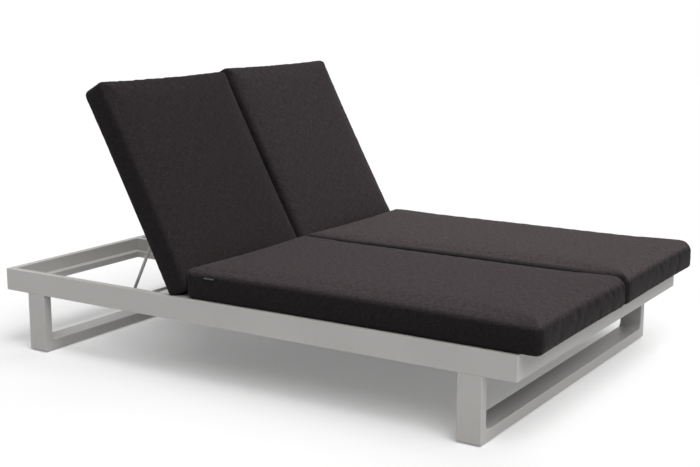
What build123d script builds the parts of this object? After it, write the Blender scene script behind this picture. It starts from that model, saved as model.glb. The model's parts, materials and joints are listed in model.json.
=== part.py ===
"""Double chaise lounger: one aluminium frame on two sled legs, two reclining backs, four cushions.

Millimetres. The origin is on the floor under the middle of the whole lounger, +X runs to the foot
end, +Z is up, and the side nearer to the viewer is at -Y. The lounger stands with both backs raised
to their highest notch.
"""
import os
from math import asin, atan2, cos, degrees, hypot, radians, sin

from build123d import *

# Frame
frame_length = 2060.0
frame_width = 1380.0
frame_height = 295.0
rail_height = 80.0
rail_width = 25.0
rail_wall = 2.5
rail_rounding = 1.5
ledge_lift = 10.5
ledge_height = 23.0
ledge_reach = 33.0

# Sled legs
leg_width = 80.0
leg_thickness = 34.0
leg_bar_height = 36.0
leg_wall = 3.0
leg_inset = 108.0
leg_inner_radius = 22.0
leg_outer_radius = 5.0
leg_edge_rounding = 1.5
leg_bolt_spacing = 44.0
leg_bolt_diameter = 8.0
leg_bolt_end = 8.0

# Glides under the legs
glide_diameter = 21.0
glide_height = 5.0
glide_chamfer = 0.8
glide_stem_diameter = 8.0
glide_stem_length = 12.0
glide_inset = 25.0

# Seat deck and the tubes of the backs
deck_thickness = 25.0
deck_wall = 2.0
deck_rounding = 2.0
slat_width = 80.0
seat_slat_count = 6
back_slat_count = 5
bearer_width = 40.0
bearer_count = 4
slat_side_gap = 6.0
slat_screw_diameter = 5.0
slat_screw_head = 9.4
slat_screw_head_depth = 1.9

# Backs and their hinges
back_angle = 61.5
hinge_from_head = 765.0
back_length = 737.0
back_foot_overhang = 12.0
back_tube_width = 24.0
back_side_gap = 20.0
deck_from_hinge = 25.0
hinge_bolt_diameter = 10.0
hinge_bolt_head = 16.0
hinge_bolt_head_height = 3.0
hinge_bush_wall = 3.0
hinge_bush_flange = 24.0
hinge_bush_flange_thickness = 1.0
hinge_boss_diameter = 24.0
bracket_length = 44.0
bracket_thickness = 5.0
bracket_top_drop = 3.0
bracket_screw_diameter = 5.0
bracket_screw_spacing = 30.0
bracket_screw_rise = 7.0

# Stays that prop up the backs, and their racks
stay_pivot_from_hinge = 220.0
stay_bar_from_hinge = 225.0
stay_bar_lift = 10.5
stay_bar_diameter = 12.0
stay_arm_diameter = 11.0
stay_eye_diameter = 20.0
stay_eye_thickness = 13.0
stay_pin_diameter = 8.0
stay_pin_head = 14.0
stay_pin_head_height = 3.0
stay_to_tube_gap = 1.5
rack_thickness = 6.0
rack_below_ledge = 18.0
rack_flange_thickness = 5.0
rack_flange_reach = 22.0
rack_end = 24.0
rack_notch_depth = 6.0
rack_notch_shares = (1.0, 0.81, 0.62, 0.42)
rack_screw_diameter = 5.0
rack_screw_shares = (0.08, 0.5, 0.92)
rack_path_steps = 20

# Rubber buffers under the lowered backs
buffer_diameter = 20.0
buffer_rounding = 1.5
buffer_from_head = 130.0

# Cushions
cushion_thickness = 100.0
cushion_crown = 10.0
cushion_side_setback = 5.0
cushion_middle_gap = 3.0
back_to_seat_gap = 4.1
seat_cushion_overhang = 67.0
back_cushion_length = 760.0
far_back_cushion_slip = 12.0
cushion_corner_radius = 26.0
cushion_edge_radius = 12.0
cushion_long_side_draw = 6.0
cushion_short_side_draw = 4.0
cushion_edge_steps = 3
crown_inset_shares = (0.10, 0.26, 0.48, 0.74)
crown_height_shares = (0.36, 0.70, 0.92, 1.0)
cover_thickness = 1.5
zip_width = 9.0
zip_thickness = 1.0
zip_margin = 90.0
tab_length = 40.0
tab_height = 12.0
tab_thickness = 1.0
tab_from_head = 55.0
tab_below_edge = 20.0

# Clearances and shared small sizes
seat_gap = 0.3
fit_gap = 1.0
running_gap = 0.05
hole_gap = 0.15
bar_gap = 0.4
overrun = 5.0
screw_head_ratio = 1.8
screw_head_height_share = 0.55
screw_socket_share = 0.5
screw_socket_depth_share = 0.5
head_chamfer_share = 0.25

# Levels above the floor
rail_bottom = frame_height - rail_height
ledge_bottom = rail_bottom + ledge_lift
ledge_top = ledge_bottom + ledge_height
deck_bottom = frame_height - deck_thickness
hinge_z = frame_height - deck_thickness / 2

# Places along the lounger
head_face = -(frame_length + seat_cushion_overhang) / 2
foot_face = head_face + frame_length
frame_middle = (head_face + foot_face) / 2
head_inner = head_face + rail_width
foot_inner = foot_face - rail_width
hinge_x = head_face + hinge_from_head
deck_start = hinge_x + deck_from_hinge
deck_end = foot_inner - fit_gap

# Places across the near half, from its outer rail to the centre rail
outer_face = -frame_width / 2
outer_wall = outer_face + rail_width
ledge_face = outer_wall + ledge_reach
centre_wall = -rail_width / 2
half_middle = (outer_wall + centre_wall) / 2
tube_outer = outer_wall + back_side_gap
tube_inner = tube_outer + back_tube_width
stay_outer = tube_inner + stay_to_tube_gap
stay_inner = stay_outer + stay_eye_thickness
stay_line = (stay_outer + stay_inner) / 2
rack_face = ledge_face + seat_gap

# How the stays move: the backs turn from flat to back_angle while each bar slides along its racks
rest_angle = radians(back_angle)
pivot_x = hinge_x - stay_pivot_from_hinge * cos(rest_angle)
pivot_z = hinge_z + stay_pivot_from_hinge * sin(rest_angle)
bar_x = hinge_x - stay_bar_from_hinge
bar_z = ledge_bottom + stay_bar_lift
stay_length = hypot(pivot_x - bar_x, pivot_z - bar_z)
stay_rest_slope = atan2(pivot_z - bar_z, pivot_x - bar_x)
bar_flat_z = ledge_top + stay_bar_diameter / 2
stay_flat_slope = asin((hinge_z - bar_flat_z) / stay_length)
stay_turn = rest_angle + stay_rest_slope - stay_flat_slope

# Cushions of the near half
cushion_width = frame_width / 2 - cushion_side_setback - cushion_middle_gap / 2
cushion_middle = -(cushion_middle_gap + cushion_width) / 2
back_cushion_front = deck_thickness / 2 + seat_gap + cushion_thickness + cushion_crown
seat_cushion_start = hinge_x + back_cushion_front * sin(rest_angle) + back_to_seat_gap
seat_cushion_length = foot_face + seat_cushion_overhang - seat_cushion_start
seat_cushion_middle = seat_cushion_start + seat_cushion_length / 2
corner_arc_share = 1 - cos(radians(45))

hinge_axis = Axis((hinge_x, 0, hinge_z), (0, 1, 0))


def box(x0, x1, y0, y1, z0, z1):
    """A plain block between six planes."""
    middle = Pos((x0 + x1) / 2, (y0 + y1) / 2, (z0 + z1) / 2)
    return middle * Box(x1 - x0, y1 - y0, z1 - z0)


def panel(u0, u1, v0, v1, rounding=0.0):
    """A flat rectangle between two values each way, with rounded corners if asked."""
    middle = Pos((u0 + u1) / 2, (v0 + v1) / 2)
    if rounding > 0:
        return middle * RectangleRounded(u1 - u0, v1 - v0, rounding)
    return middle * Rectangle(u1 - u0, v1 - v0)


def along_x(sketch, x0, x1):
    """Extrudes a section drawn in Y and Z from x0 to x1."""
    return extrude(Pos(x0, 0, 0) * (Plane.YZ * sketch), amount=x1 - x0)


def along_y(sketch, y0, y1):
    """Extrudes a section drawn in X and Z from y0 to y1."""
    return extrude(Pos(0, y1, 0) * (Plane.XZ * sketch), amount=y1 - y0)


def along_z(sketch, z0, z1):
    """Extrudes a plan drawn in X and Y from z0 to z1."""
    return extrude(Pos(0, 0, z0) * sketch, amount=z1 - z0)


def rod_y(x, z, radius, y0, y1):
    """A round rod that runs across the lounger."""
    return Pos(x, (y0 + y1) / 2, z) * Rot(90, 0, 0) * Cylinder(radius, y1 - y0)


def rod_z(x, y, radius, z0, z1):
    """A round upright rod."""
    return Pos(x, y, (z0 + z1) / 2) * Cylinder(radius, z1 - z0)


def across_half(part):
    """The same piece on the other side of the near half."""
    return mirror(part, about=Plane.XZ.offset(-half_middle))


def across_lounger(part):
    """The same piece on the other side of the lounger."""
    return mirror(part, about=Plane.XZ)


def end_to_end(part):
    """The same piece at the other end of the frame."""
    return mirror(part, about=Plane.YZ.offset(frame_middle))


def group(parts):
    """Separate solids that share one node."""
    solids = []
    for part in parts:
        solids.extend(part.solids())
    return Compound(children=solids)


def both_sides_of_half(part):
    """The piece and its twin on the other side of the near half."""
    return [part, across_half(part)]


def in_both_halves(parts):
    """The near half's pieces and their twins in the far half."""
    return list(parts) + [across_lounger(part) for part in parts]


def screw(diameter, length):
    """A button-head screw: its head rises from the origin, and its shank goes down."""
    head_radius = diameter * screw_head_ratio / 2
    head_height = diameter * screw_head_height_share
    socket_depth = head_height * screw_socket_depth_share
    head = Cylinder(head_radius, head_height, align=(Align.CENTER, Align.CENTER, Align.MIN))
    head = chamfer(head.edges().sort_by(Axis.Z)[-1], head_height * head_chamfer_share)
    socket_plan = RegularPolygon(diameter * screw_socket_share, 6)
    head -= along_z(socket_plan, head_height - socket_depth, head_height + overrun)
    shank = Cylinder(diameter / 2, length, align=(Align.CENTER, Align.CENTER, Align.MAX))
    return head + shank


# Frame rails

def rail_section():
    """An upright box with a hollow ledge on its inner side, in the place of the near rail."""
    body = panel(outer_face, outer_wall, rail_bottom, frame_height, rail_rounding)
    body += panel(outer_wall - rail_wall, ledge_face, ledge_bottom, ledge_top, rail_rounding / 2)
    body -= panel(outer_face + rail_wall, outer_wall - rail_wall, rail_bottom + rail_wall,
                  frame_height - rail_wall)
    body -= panel(outer_wall, ledge_face - rail_wall, ledge_bottom + rail_wall,
                  ledge_top - rail_wall)
    return body


def leg_bolt_places():
    """Where the bolts of the near legs go up through the ledge."""
    y = outer_face + (leg_thickness + rail_width + ledge_reach) / 2
    places = []
    for middle in (head_face + leg_inset + leg_width / 2, foot_face - leg_inset - leg_width / 2):
        for offset in (-leg_bolt_spacing / 2, leg_bolt_spacing / 2):
            places.append((middle + offset, y))
    return places


def rack_span():
    """The head and foot ends of a rack."""
    flat_bar_x, flat_bar_z = bar_place(0.0)
    return flat_bar_x - rack_end, bar_x + rack_end


def rack_screw_places():
    """Where the screws of the near outer rack go up into the ledge."""
    x0, x1 = rack_span()
    y = ledge_face - rack_flange_reach / 2
    return [(x0 + share * (x1 - x0), y) for share in rack_screw_shares]


def bracket_screw_places():
    """Where the screws of a hinge bracket go into the wall, as X and Z."""
    z = ledge_top + bracket_screw_rise
    return [(hinge_x - bracket_screw_spacing / 2, z), (hinge_x + bracket_screw_spacing / 2, z)]


def leg_bolt_holes():
    """The holes for the near legs' bolts in the outer rail's ledge."""
    return [rod_z(x, y, leg_bolt_diameter / 2 + hole_gap, ledge_bottom - overrun,
                  ledge_bottom + overrun) for x, y in leg_bolt_places()]


def fitting_holes():
    """The holes in a rail for the screws of its rack and its hinge bracket."""
    holes = [rod_z(x, y, rack_screw_diameter / 2 + hole_gap, ledge_bottom - overrun,
                   ledge_bottom + overrun) for x, y in rack_screw_places()]
    for x, z in bracket_screw_places():
        holes.append(rod_y(x, z, bracket_screw_diameter / 2 + hole_gap,
                           outer_wall - overrun, outer_wall + overrun))
    return holes


def side_rail():
    """The near rail, mitred at both ends."""
    rail = along_x(rail_section(), head_face, foot_face)
    reach = frame_width / 2
    plan = Polygon((head_face, -reach), (foot_face, -reach), (foot_face - reach, 0),
                   (head_face + reach, 0), align=None)
    rail &= along_z(plan, rail_bottom - overrun, frame_height + overrun)
    for hole in leg_bolt_holes() + fitting_holes():
        rail -= hole
    return rail


def head_rail():
    """The head rail, mitred to both side rails."""
    section = Pos(head_face - outer_face, 0) * rail_section()
    rail = along_y(section, -frame_width / 2, frame_width / 2)
    reach = frame_width / 2
    plan = Polygon((head_face, -reach), (head_face + reach, 0), (head_face, reach), align=None)
    return rail & along_z(plan, rail_bottom - overrun, frame_height + overrun)


def centre_rail():
    """The rail down the middle, notched over the ledges of the head and foot rails."""
    upright = panel(centre_wall, -centre_wall, ledge_bottom, frame_height, rail_rounding)
    ledge_edge = centre_wall - ledge_reach
    body = upright + panel(ledge_edge, -ledge_edge, ledge_bottom, ledge_top, rail_rounding / 2)
    body -= panel(centre_wall + rail_wall, -centre_wall - rail_wall,
                  ledge_bottom + rail_wall, frame_height - rail_wall)
    hollow = panel(ledge_edge + rail_wall, centre_wall, ledge_bottom + rail_wall,
                   ledge_top - rail_wall)
    body -= hollow
    body -= mirror(hollow, about=Plane.YZ)
    rail = along_x(body, head_inner, foot_inner)
    notch = box(head_inner - overrun, head_inner + ledge_reach, -frame_width / 2, frame_width / 2,
                ledge_bottom - overrun, ledge_top)
    rail = rail - notch - end_to_end(notch)
    for hole in fitting_holes():
        other = across_half(hole)
        rail = rail - other - across_lounger(other)
    return rail


# Legs

def leg_outline(offset):
    """The U of a leg frame in Y and Z, moved inward by offset."""
    half = frame_width / 2
    low = glide_height
    outer = panel(-half + offset, half - offset, low + offset, rail_bottom)
    outer = fillet(outer.vertices().group_by(Axis.Y)[0], leg_outer_radius - offset)
    inner_half = half - leg_thickness + offset
    inner = panel(-inner_half, inner_half, low + leg_bar_height - offset, rail_bottom + overrun)
    inner = fillet(inner.vertices().group_by(Axis.Y)[0], leg_inner_radius + offset)
    return outer - inner


def foot_leg_frame():
    """The whole hollow U at the foot end, before it is cut into its three tubes."""
    x1 = foot_face - leg_inset
    x0 = x1 - leg_width
    frame = along_x(leg_outline(0), x0, x1)
    top = frame.faces().sort_by(Axis.Z)[-1].center().Z
    rims = frame.edges().filter_by(lambda edge: edge.length > leg_edge_rounding)
    rims = rims.filter_by_position(Axis.X, x0, x0) + rims.filter_by_position(Axis.X, x1, x1)
    rims = rims.filter_by(lambda edge: edge.center().Z < top - leg_edge_rounding)
    frame = fillet(rims, leg_edge_rounding)
    return frame - along_x(leg_outline(leg_wall), x0 + leg_wall, x1 - leg_wall)


def leg_tubes():
    """The near post, far post and floor bar of the foot leg, mitred at the bottom corners."""
    frame = foot_leg_frame()
    half = frame_width / 2
    low = glide_height
    rise = leg_bar_height + leg_inner_radius + leg_thickness
    run = rise * leg_thickness / leg_bar_height
    wedge = Polygon((-half, low), (half, low), (half - run, low + rise), (-half + run, low + rise),
                    align=None)
    x1 = foot_face - leg_inset
    x0 = x1 - leg_width
    prism = along_x(wedge, x0 - overrun, x1 + overrun)
    bar = frame & prism
    bar -= group([rod_z(x, y, glide_stem_diameter / 2 + hole_gap, low - overrun,
                        low + leg_wall + overrun) for x, y in glide_places(x0, x1)])
    posts = (frame - prism).solids().sort_by(Axis.Y)
    return posts[0], posts[-1], bar


def glide_places(x0, x1):
    """Where the two glides of a leg sit, as X and Y."""
    y = frame_width / 2 - glide_inset
    return [((x0 + x1) / 2, -y), ((x0 + x1) / 2, y)]


def floor_glides():
    """Black round glides, each with a stem pressed into the floor bar."""
    glides = []
    x1 = foot_face - leg_inset
    for x, y in glide_places(x1 - leg_width, x1):
        disc = rod_z(x, y, glide_diameter / 2, 0, glide_height)
        disc = chamfer(disc.edges().sort_by(Axis.Z)[0], glide_chamfer)
        stem = rod_z(x, y, glide_stem_diameter / 2, glide_height, glide_height + glide_stem_length)
        glides.append(disc + stem)
    return group(glides + [end_to_end(glide) for glide in glides])


def leg_mounting_plates():
    """Plates on the posts' tops, tucked under the ledges, that the leg bolts hold."""
    x1 = foot_face - leg_inset
    plate = box(x1 - leg_width, x1, outer_wall, ledge_face, rail_bottom, ledge_bottom)
    for x, y in leg_bolt_places():
        plate -= rod_z(x, y, leg_bolt_diameter / 2 + hole_gap, rail_bottom - overrun,
                       ledge_bottom + overrun)
    plates = in_both_halves([plate])
    return group(plates + [end_to_end(one) for one in plates])


def leg_bolts():
    """Bolts that hold the plates, and with them the legs, up against the ledges."""
    length = ledge_lift + rail_wall + leg_bolt_end
    bolts = [Pos(x, y, rail_bottom) * Rot(180, 0, 0) * screw(leg_bolt_diameter, length)
             for x, y in leg_bolt_places()]
    return group(in_both_halves(bolts))


# Seat deck

def bearer_places():
    """The middles of the cross bearers along the lounger."""
    first = deck_start + bearer_width / 2
    last = deck_end - bearer_width / 2
    step = (last - first) / (bearer_count - 1)
    return [first + step * index for index in range(bearer_count)]


def slat_places(count, y0, y1):
    """The middles of slats spread evenly between y0 and y1."""
    first = y0 + slat_width / 2
    last = y1 - slat_width / 2
    step = (last - first) / (count - 1)
    return [first + step * index for index in range(count)]


def seat_slat_places():
    """The middles of the near seat slats across the lounger."""
    return slat_places(seat_slat_count, outer_wall + slat_side_gap, centre_wall - slat_side_gap)


def slat(x0, x1, y):
    """A hollow slat that runs along the lounger, flush with the rails' tops."""
    outer = panel(y - slat_width / 2, y + slat_width / 2, deck_bottom, frame_height, deck_rounding)
    hollow = panel(y - slat_width / 2 + deck_wall, y + slat_width / 2 - deck_wall,
                   deck_bottom + deck_wall, frame_height - deck_wall)
    return along_x(outer - hollow, x0, x1)


def slat_screw(x, y, gap):
    """A long countersunk screw from the slat's top into a bearer."""
    head_radius = slat_screw_head / 2 + gap
    shank_radius = slat_screw_diameter / 2 + gap
    tip = deck_bottom - deck_wall - fit_gap
    neck = frame_height - slat_screw_head_depth
    cone = Pos(x, y, (neck + frame_height) / 2) * Cone(shank_radius, head_radius,
                                                       slat_screw_head_depth)
    return cone + rod_z(x, y, shank_radius, tip, neck)


def seat_bearers():
    """Cross tubes that lie on the ledges under the near slats."""
    bearers = []
    for x in bearer_places():
        section = panel(x - bearer_width / 2, x + bearer_width / 2, ledge_top, deck_bottom,
                        deck_rounding)
        section -= panel(x - bearer_width / 2 + deck_wall, x + bearer_width / 2 - deck_wall,
                         ledge_top + deck_wall, deck_bottom - deck_wall)
        bearer = along_y(section, outer_wall + fit_gap, centre_wall - fit_gap)
        for y in seat_slat_places():
            bearer -= rod_z(x, y, slat_screw_diameter / 2 + hole_gap,
                            deck_bottom - deck_wall - fit_gap, deck_bottom + overrun)
        bearers.append(bearer)
    return bearers


def seat_slats():
    """The near slats with their countersunk holes."""
    slats = []
    for y in seat_slat_places():
        board = slat(deck_start, deck_end, y)
        for x in bearer_places():
            board -= slat_screw(x, y, hole_gap)
        slats.append(board)
    return slats


def slat_screws():
    """Every screw of the near deck."""
    return [slat_screw(x, y, 0.0) for x in bearer_places() for y in seat_slat_places()]


# Hinges

def hinge_bracket():
    """A plate on the rail's wall with a boss that carries the hinge bolt."""
    x0 = hinge_x - bracket_length / 2
    x1 = hinge_x + bracket_length / 2
    plate = box(x0, x1, outer_wall, outer_wall + bracket_thickness, ledge_top,
                frame_height - bracket_top_drop)
    boss_end = tube_outer - hinge_bush_flange_thickness - seat_gap
    bracket = plate + rod_y(hinge_x, hinge_z, hinge_boss_diameter / 2, outer_wall, boss_end)
    bracket &= box(x0, x1, outer_wall, boss_end, ledge_top, frame_height)
    bracket -= rod_y(hinge_x, hinge_z, hinge_bolt_diameter / 2, outer_wall - overrun,
                     boss_end + overrun)
    for x, z in bracket_screw_places():
        bracket -= rod_y(x, z, bracket_screw_diameter / 2 + hole_gap, outer_wall - overrun,
                         boss_end + overrun)
    return bracket


def hinge_bolt():
    """A shoulder bolt through the back's tube into the bracket."""
    shank_end = tube_inner + hinge_bush_flange_thickness + seat_gap
    shank = rod_y(hinge_x, hinge_z, hinge_bolt_diameter / 2, outer_wall + fit_gap, shank_end)
    head = rod_y(hinge_x, hinge_z, hinge_bolt_head / 2, shank_end,
                 shank_end + hinge_bolt_head_height)
    head = chamfer(head.edges().sort_by(Axis.Y)[-1], hinge_bolt_head_height * head_chamfer_share)
    return shank + head


def hinge_bush():
    """A flanged plastic bush through the tube's end, in which the hinge bolt turns."""
    radius = hinge_bolt_diameter / 2 + running_gap
    sleeve = rod_y(hinge_x, hinge_z, hinge_bolt_diameter / 2 + hinge_bush_wall, tube_outer,
                   tube_inner + hinge_bush_flange_thickness)
    flange = rod_y(hinge_x, hinge_z, hinge_bush_flange / 2,
                   tube_outer - hinge_bush_flange_thickness, tube_outer)
    bore = rod_y(hinge_x, hinge_z, radius, tube_outer - overrun, tube_inner + overrun)
    return sleeve + flange - bore


def bracket_screws():
    """The screws of the near outer bracket."""
    screws = []
    for x, z in bracket_screw_places():
        turned = Rot(-90, 0, 0) * screw(bracket_screw_diameter,
                                        bracket_thickness + rail_wall + fit_gap)
        screws.append(Pos(x, outer_wall + bracket_thickness, z) * turned)
    return screws


# Backs, drawn flat and then turned up about the hinge axis

def raised(part):
    """Turns a piece of a back that was drawn flat up to its highest notch."""
    return part.rotate(hinge_axis, back_angle)


def back_side_tube():
    """The outer side tube of the near back, bored for its bush and its stay pin."""
    x0 = hinge_x - back_length
    x1 = hinge_x + back_foot_overhang
    tube = along_x(panel(tube_outer, tube_inner, deck_bottom, frame_height, deck_rounding), x0, x1)
    tube -= box(x0 + deck_wall, x1 - deck_wall, tube_outer + deck_wall, tube_inner - deck_wall,
                deck_bottom + deck_wall, frame_height - deck_wall)
    tube -= rod_y(hinge_x, hinge_z, hinge_bolt_diameter / 2 + hinge_bush_wall,
                  tube_outer - overrun, tube_inner + overrun)
    tube -= rod_y(hinge_x - stay_pivot_from_hinge, hinge_z, stay_pin_diameter / 2,
                  tube_outer + deck_wall, tube_inner + overrun)
    return tube


def back_cross_tube(x0, x1):
    """A tube across the near back, between its side tubes."""
    section = panel(x0, x1, deck_bottom, frame_height, deck_rounding)
    section -= panel(x0 + deck_wall, x1 - deck_wall, deck_bottom + deck_wall,
                     frame_height - deck_wall)
    return along_y(section, tube_inner, 2 * half_middle - tube_inner)


def back_foot_tube_ends():
    """Where the lower cross tube starts and ends, just clear of the bushes."""
    x1 = hinge_x - hinge_bush_flange / 2 - deck_wall
    return x1 - deck_thickness, x1


def back_head_tube_ends():
    """Where the upper cross tube starts and ends."""
    x0 = hinge_x - back_length
    return x0, x0 + deck_thickness


def back_slats():
    """Slats between the two cross tubes, kept clear of the stay's arms."""
    x0 = back_head_tube_ends()[1]
    x1 = back_foot_tube_ends()[0]
    y0 = stay_inner + stay_pin_head_height + slat_side_gap
    return [slat(x0, x1, y) for y in slat_places(back_slat_count, y0, 2 * half_middle - y0)]


def stay_pin():
    """A pin from the back's side tube through the eye of the stay."""
    shank_end = stay_inner + seat_gap
    x = hinge_x - stay_pivot_from_hinge
    shank = rod_y(x, hinge_z, stay_pin_diameter / 2, tube_outer + deck_wall, shank_end)
    head = rod_y(x, hinge_z, stay_pin_head / 2, shank_end, shank_end + stay_pin_head_height)
    head = chamfer(head.edges().sort_by(Axis.Y)[-1], stay_pin_head_height * head_chamfer_share)
    return shank + head


# Stays and racks

def bar_place(angle):
    """Where the middle of the stay's bar is when the back stands at this angle in degrees."""
    back = radians(angle)
    slope = stay_flat_slope + back / rest_angle * (stay_rest_slope - stay_flat_slope)
    x = hinge_x - stay_pivot_from_hinge * cos(back) - stay_length * cos(slope)
    z = hinge_z + stay_pivot_from_hinge * sin(back) - stay_length * sin(slope)
    return x, z


def stay_arm():
    """A round arm with a flat eye at the top, welded to the bar at the bottom."""
    line = Plane(origin=(pivot_x, stay_line, pivot_z), z_dir=(bar_x - pivot_x, 0, bar_z - pivot_z))
    rod = line * Cylinder(stay_arm_diameter / 2, stay_length,
                          align=(Align.CENTER, Align.CENTER, Align.MIN))
    eye = rod_y(pivot_x, pivot_z, stay_eye_diameter / 2, stay_outer, stay_inner)
    bore = rod_y(pivot_x, pivot_z, stay_pin_diameter / 2 + running_gap, stay_outer - overrun,
                 stay_inner + overrun)
    return rod + eye - bore - stay_bar()


def stay_bar():
    """The bar that drops into the racks, with its ends out over the rack plates."""
    y0 = rack_face + fit_gap
    return rod_y(bar_x, bar_z, stay_bar_diameter / 2, y0, 2 * half_middle - y0)


def rack_top():
    """The rack's top edge, everywhere the same gap below the path of the bar's round underside."""
    below = stay_bar_diameter / 2 + bar_gap
    half_step = back_angle / rack_path_steps ** 2 / 2
    edge = []
    for step in range(rack_path_steps + 1):
        angle = back_angle * (step / rack_path_steps) ** 2
        x, z = bar_place(angle)
        x0, z0 = bar_place(angle - half_step)
        x1, z1 = bar_place(angle + half_step)
        run = hypot(x1 - x0, z1 - z0)
        edge.append((x + below * (z1 - z0) / run, z - below * (x1 - x0) / run))
    return edge


def rack():
    """A notched plate beside the ledge, with a flange screwed under it."""
    x0, x1 = rack_span()
    below = stay_bar_diameter / 2 + bar_gap
    low = ledge_bottom - rack_below_ledge
    top = rack_top()
    corners = [(x0, low), (x0, top[0][1])] + top + [(x1, top[-1][1]), (x1, low)]
    web = along_y(make_face(Polyline(*corners, close=True)), rack_face,
                  rack_face + rack_thickness)
    y0 = rack_face - overrun
    y1 = rack_face + rack_thickness + overrun
    for share in rack_notch_shares:
        x, z = bar_place(back_angle * share)
        floor = z - rack_notch_depth
        web -= rod_y(x, floor, below, y0, y1)
        web -= box(x - below, x + below, y0, y1, floor, z + below)
    flange = box(x0, x1, ledge_face - rack_flange_reach, rack_face + rack_thickness,
                 ledge_bottom - rack_flange_thickness, ledge_bottom)
    plate = web + flange
    for x, y in rack_screw_places():
        plate -= rod_z(x, y, rack_screw_diameter / 2 + hole_gap, low - overrun,
                       ledge_bottom + overrun)
    return plate


def rack_screws():
    """The screws of the near outer rack, up into the ledge."""
    length = rack_flange_thickness + rail_wall + fit_gap
    return [Pos(x, y, ledge_bottom - rack_flange_thickness) * Rot(180, 0, 0)
            * screw(rack_screw_diameter, length) for x, y in rack_screw_places()]


def rest_buffer():
    """A rubber buffer on the side ledge under the side tube of a lowered back."""
    x = head_inner + buffer_from_head
    y = ledge_face - buffer_diameter / 2 - fit_gap
    rubber = rod_z(x, y, buffer_diameter / 2, ledge_top, deck_bottom - seat_gap)
    return fillet(rubber.edges().sort_by(Axis.Z)[-1], buffer_rounding)


# Cushions

def cushion_plan(length, width, inset, corner, draw_share):
    """The outline of a cushion: four sides drawn in towards their middles, and round corners."""
    half_length = length / 2 - inset
    half_width = width / 2 - inset
    bend = corner * corner_arc_share
    long_draw = cushion_long_side_draw * draw_share
    short_draw = cushion_short_side_draw * draw_share
    arcs = []
    for turn_x, turn_y in ((-1, -1), (1, -1), (1, 1), (-1, 1)):
        along = (turn_x * (half_length - corner), turn_y * half_width)
        bulge = (turn_x * (half_length - bend), turn_y * (half_width - bend))
        upright = (turn_x * half_length, turn_y * (half_width - corner))
        ends = (upright, along) if turn_x * turn_y > 0 else (along, upright)
        arcs.append((ends[0], bulge, ends[1]))
    middles = ((0, -half_width + long_draw), (half_length - short_draw, 0),
               (0, half_width - long_draw), (-half_length + short_draw, 0))
    edges = []
    for index, middle in enumerate(middles):
        edges.append(ThreePointArc(*arcs[index]))
        following = arcs[(index + 1) % len(arcs)]
        edges.append(ThreePointArc(arcs[index][2], middle, following[0]))
    return make_face(edges)


def cushion_form(length, width, thickness, inset):
    """A boxed cushion with its foot on z = inset, rounded edges and a crowned top."""
    length = length - 2 * inset
    width = width - 2 * inset
    thickness = thickness - 2 * inset
    edge = cushion_edge_radius
    corner = cushion_corner_radius
    levels = []
    for step in range(cushion_edge_steps + 1):
        slope = radians(90 * step / cushion_edge_steps)
        levels.append((edge * (1 - sin(slope)), edge * (1 - cos(slope))))
    rising = [(side_inset, thickness - height) for side_inset, height in reversed(levels)]
    sections = [(side_inset, height, 1.0) for side_inset, height in levels + rising]
    for inset_share, height_share in zip(crown_inset_shares, crown_height_shares):
        sections.append((edge + width / 2 * inset_share,
                         thickness + cushion_crown * height_share, 1 - inset_share))
    faces = []
    for side_inset, height, draw_share in sections:
        plan = cushion_plan(length, width, side_inset, corner, draw_share)
        faces.append(Pos(0, 0, inset + height) * plan)
    return loft(faces, ruled=True)


def cushion_cover(length):
    """The sewn cover, a closed skin round the foam."""
    return (cushion_form(length, cushion_width, cushion_thickness, 0.0)
            - cushion_form(length, cushion_width, cushion_thickness, cover_thickness))


def cushion_foam(length):
    """The foam block that fills a cover."""
    return cushion_form(length, cushion_width, cushion_thickness, cover_thickness + seat_gap)


def strip_round_cushion(length, thickness, z0, z1):
    """A band that follows the cushion's sides, from which sewn-on trims are cut."""
    bands = []
    for grow in (seat_gap + thickness, seat_gap):
        bands.append(cushion_plan(length + 2 * grow, cushion_width + 2 * grow, 0.0,
                                  cushion_corner_radius + grow, 1.0))
    return along_z(bands[0], z0, z1) - along_z(bands[1], z0 - overrun, z1 + overrun)


def cushion_zip(length):
    """The zip across the head end of the cover."""
    middle = cushion_thickness / 2
    band = strip_round_cushion(length, zip_thickness, middle - zip_width / 2, middle + zip_width / 2)
    reach = cushion_width / 2 - zip_margin
    return band & box(-length, 0, -reach, reach, 0, cushion_thickness)


def cushion_tab():
    """The small plain tab on the near side of the near seat cushion."""
    z1 = cushion_thickness - tab_below_edge
    band = strip_round_cushion(seat_cushion_length, tab_thickness, z1 - tab_height, z1)
    x0 = -seat_cushion_length / 2 + tab_from_head
    return band & box(x0, x0 + tab_length, -cushion_width, 0, z1 - tab_height, z1)


def on_seat(part):
    """Puts a cushion's piece on the near seat."""
    return Pos(seat_cushion_middle, cushion_middle, frame_height + seat_gap) * part


def back_cushion_start():
    """How far up from the hinge the back cushion's foot sits, so that it clears the rail."""
    edge = cushion_edge_radius
    lift = frame_height + seat_gap - hinge_z + edge
    behind = deck_thickness / 2 + seat_gap + edge
    return (lift - behind * cos(rest_angle)) / sin(rest_angle) - edge


def on_back(part, slip):
    """Puts a cushion's piece on the near back, head end up, and slips it up the back a little."""
    x = hinge_x - back_cushion_start() - slip - back_cushion_length / 2
    placed = Pos(x, cushion_middle, frame_height + seat_gap) * part
    return raised(placed)


def on_back_foot_end(part, slip):
    """Puts a cushion's piece on the near back with its head end down by the seat."""
    return on_back(part.rotate(Axis.Z, 180), slip)


# All the nodes

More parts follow.
